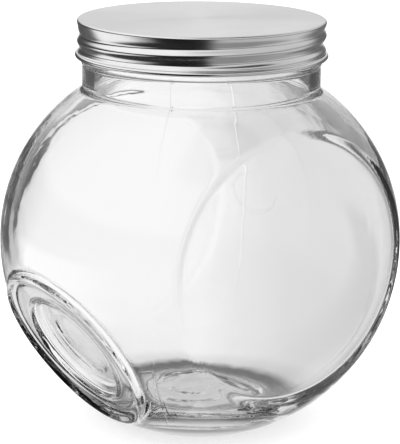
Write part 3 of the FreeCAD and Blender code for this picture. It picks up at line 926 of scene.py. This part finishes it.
# Its brightness across the view, from 300 mm left to 300 mm right, without the
# cards (painted shade, darker towards the right) and with them, and from under
# the jar out to 200 mm (a painted shadow, darkest in a ring round the base).
FLOOR_SPAN = 300 * MM
PAPER_SHADE_ACROSS = ((0.0, 0.985), (0.44, 0.985), (0.50, 0.965), (0.54, 0.86), (0.58, 0.77), (0.64, 0.73),
              (1.0, 0.70))
FLOOR_CARDS = ((0.0, 0.10), (0.08, 0.13), (0.14, 0.42), (0.20, 0.84), (0.28, 1.0), (0.72, 1.0),
               (0.78, 0.75), (0.84, 0.35), (0.90, 0.10), (1.0, 0.08))
CARDS_SLANT = (0.30, 0.50)              # the cards begin this far behind, for each metre aside
UNDER_SPAN = 200 * MM
PAPER_SHADOW_UNDER = ((0.0, 0.64), (0.13, 0.64), (0.17, 0.13), (0.22, 0.13), (0.26, 0.8), (0.34, 1.0))


def painted_paper_through_glass(tree):
    """A glow that shows the paper to rays through the glass, with painted cards, painted shade and a
    painted shadow under the jar.
    """
    place = object_place(tree)
    across = along(tree, place, RIGHT_HAND)
    share = spread(tree, across, -FLOOR_SPAN, FLOOR_SPAN)
    behind = along(tree, place, -TOWARDS_CAMERA)
    slant = calculate(tree, "DIVIDE", behind, calculate(tree, "ABSOLUTE", across))
    carded = spread(tree, slant, *CARDS_SLANT)
    # Painted shade: the paper darkens towards the right, and the painted cards darken it at both sides.
    beside = mixed(tree, carded, ramp(tree, share, PAPER_SHADE_ACROSS), ramp(tree, share, FLOOR_CARDS),
                   "MULTIPLY")
    # Painted shadow: a dark ring round the base of the jar, lighter under its middle.
    reach = spread(tree, length(tree, place), 0.0, UNDER_SPAN)
    seen = mixed(tree, 1.0, beside, ramp(tree, reach, PAPER_SHADOW_UNDER), "MULTIPLY")
    return add(tree, "Emission", Color=seen, Strength=SEEN_GLOW).outputs[0]


def white_floor():
    """White paper, which mirrors in nothing and shows its painted cards, shade and shadow only through
    glass.
    """
    bpy.ops.mesh.primitive_plane_add(size=FLOOR_SIZE, location=(0, 0, -FLOOR_DROP))
    floor = bpy.context.object
    floor.name = "floor"
    material, tree = new_material("white_paper")
    shader = tree.nodes["Principled BSDF"]
    shader.inputs["Base Color"].default_value = (FLOOR_GREY, FLOOR_GREY, FLOOR_GREY, 1)
    shader.inputs["Roughness"].default_value = 1.0
    shader.inputs["Specular IOR Level"].default_value = 0.0
    shader.inputs["Emission Color"].default_value = (1, 1, 1, 1)
    shader.inputs["Emission Strength"].default_value = FLOOR_GLOW
    through = add(tree, "LightPath").outputs["Is Transmission Ray"]
    choose_shader(tree, through, shader.outputs[0], painted_paper_through_glass(tree))
    floor.data.materials.append(material)
    floor.visible_glossy = False
    return floor


floor = white_floor()
print("floor at", round(floor.location.z / MM, 2), "mm")


# %% [markdown]
# The light comes from a soft box on the ceiling, so wide that it leaves only a
# faint shadow close to the glass.  A sun lamp with a broad angle does the same
# as an area lamp here and lights the floor evenly.  It is hidden from mirrors
# and from the glass, which would show it as a hard spot.

# %% Light
def soft_light(name, azimuth, rise, spread_angle, strength):
    """Light from one side of the sky; the azimuth is counted from the camera."""
    data = bpy.data.lights.new(name, "SUN")
    data.angle = math.radians(spread_angle)
    data.energy = strength
    obj = bpy.data.objects.new(name, data)
    scene.collection.objects.link(obj)
    a, e = math.radians(azimuth), math.radians(rise)
    towards = (TOWARDS_CAMERA * math.cos(a) + RIGHT_HAND * math.sin(a)) * math.cos(e)
    towards.z = math.sin(e)
    obj.rotation_euler = towards.to_track_quat("Z", "Y").to_euler()
    obj.visible_glossy = False
    obj.visible_transmission = False
    print(f"{name}: {strength} from {rise} degrees up")


soft_light("ceiling_light", azimuth=180, rise=86, spread_angle=55, strength=1.9)


# %% [markdown]
# The world is two rooms in one.  Rays that pass through the glass see a white
# room with the black cards and a darker ceiling, and rays that miss it see
# plain white.  Rays mirrored by a surface see the other room, drawn as
# brightness round the horizon in belts: a low one, a soft box at the left just
# below the horizon, a high one, and a dark patch overhead.  They give the lid
# its bands.  Planes set up as soft boxes would do the same, but they
# would stand in the way of other views.

# %% Belts of the world
# Height is counted from 0, straight down, over 0.5, level, to 1, straight up.
SEEN_THROUGH = ((0.0, 1.0), (0.58, 1.0), (0.70, 0.40), (1.0, 0.35))
BELT_EDGE = ((0.0, 0.0), (0.61, 0.0), (0.67, 1.0), (1.0, 1.0))
BOX_EDGE = ((0.0, 0.0), (0.20, 0.0), (0.24, 1.0), (0.42, 1.0), (0.45, 0.0), (1.0, 0.0))
TOP_EDGE = ((0.0, 0.0), (0.86, 0.0), (0.90, 1.0), (1.0, 1.0))
# Round the horizon, 0 is behind the jar, 0.25 its left side as the camera sees
# it, 0.5 towards the camera, 0.75 its right side, and 1 behind again.
SEEN_AROUND = ((0.0, 1.0), (0.05, 1.0), (0.09, 0.4), (0.12, 0.12), (0.17, 0.12), (0.21, 0.9),
               (0.79, 0.9), (0.83, 0.12), (0.88, 0.12), (0.91, 0.4), (0.95, 0.85), (1.0, 1.0))
LOW_BELT = ((0.0, 0.72), (0.03, 0.72), (0.045, 0.06), (0.52, 0.01), (0.545, 0.30), (0.66, 0.28),
            (0.80, 0.40), (0.87, 0.12), (0.95, 0.12), (0.97, 0.72))
BOX_BELT = ((0.0, 0.72), (0.03, 0.72), (0.045, 0.08), (0.155, 0.10), (0.18, 1.0), (0.29, 0.95),
            (0.38, 0.01), (0.52, 0.01), (0.545, 0.48), (0.66, 0.54), (0.80, 0.62), (0.87, 0.16),
            (0.95, 0.16), (0.97, 0.72))
HIGH_BELT = ((0.0, 0.72), (0.03, 0.72), (0.06, 0.9), (0.24, 1.0), (0.34, 1.0), (0.42, 1.0),
             (0.50, 0.8), (0.6, 0.62), (0.75, 0.6), (0.9, 0.65), (0.97, 0.72))
TOP_BELT = ((0.0, 0.72), (0.20, 1.0), (0.42, 1.0), (0.48, 0.15), (0.75, 0.05), (0.90, 0.4), (1.0, 0.72))
MIRROR = 1.25                           # how much brighter the mirrored room is lit
WHITE = (1, 1, 1, 1)


def directions(tree):
    """Where a ray of the world goes: round the horizon, and how high, from 0 to 1."""
    generated = add(tree, "TexCoord").outputs["Generated"]
    turned_round = add(tree, "Mapping", generated, vector_type="POINT", Rotation=(0, 0, -VIEW_AZIMUTH))
    split = add(tree, "SeparateXYZ", turned_round.outputs[0])
    towards = calculate(tree, "MULTIPLY", split.outputs["Y"], -1.0)
    azimuth = calculate(tree, "ARCTAN2", split.outputs["X"], towards)
    around = spread(tree, azimuth, -math.pi, math.pi)
    return around, spread(tree, split.outputs["Z"], -1.0, 1.0)


def mirrored_room(tree, around, height):
    """The belts, each laid over the ones before it."""
    room = ramp(tree, around, LOW_BELT)
    for edge, belt in ((BELT_EDGE, HIGH_BELT), (BOX_EDGE, BOX_BELT), (TOP_EDGE, TOP_BELT)):
        room = mixed(tree, ramp(tree, height, edge), room, ramp(tree, around, belt))
    return add(tree, "VectorMath", room, operation="SCALE", Scale=MIRROR).outputs[0]


# %% The world
def studio_world():
    world = bpy.data.worlds.new("studio")
    scene.world = world
    world.use_nodes = True
    tree = world.node_tree
    around, height = directions(tree)
    path = add(tree, "LightPath")
    through = path.outputs["Is Transmission Ray"]
    reflected = calculate(tree, "SUBTRACT", path.outputs["Is Glossy Ray"], through, use_clamp=True)
    carded = mixed(tree, 1.0, ramp(tree, height, SEEN_THROUGH), ramp(tree, around, SEEN_AROUND),
                   "MULTIPLY")
    plain = mixed(tree, through, WHITE, carded)
    room = mixed(tree, reflected, plain, mirrored_room(tree, around, height))
    background = tree.nodes["Background"]
    fill(tree, background.inputs["Color"], room)
    background.inputs["Strength"].default_value = 1.0
    print("world:", len(tree.nodes), "nodes")


studio_world()

# %% [markdown]
# Light crosses the wall of the jar four times and more before it reaches the
# eye, and is turned back inside the thick base, so it is followed much farther
# than the usual twelve steps.  The plain view transform keeps white paper white.

# %% Light paths and colours
LIGHT_STEPS = 24
scene.view_settings.view_transform = "Standard"
scene.cycles.max_bounces = LIGHT_STEPS
scene.cycles.transmission_bounces = LIGHT_STEPS
scene.cycles.glossy_bounces = LIGHT_STEPS
print("light is followed for", LIGHT_STEPS, "steps")
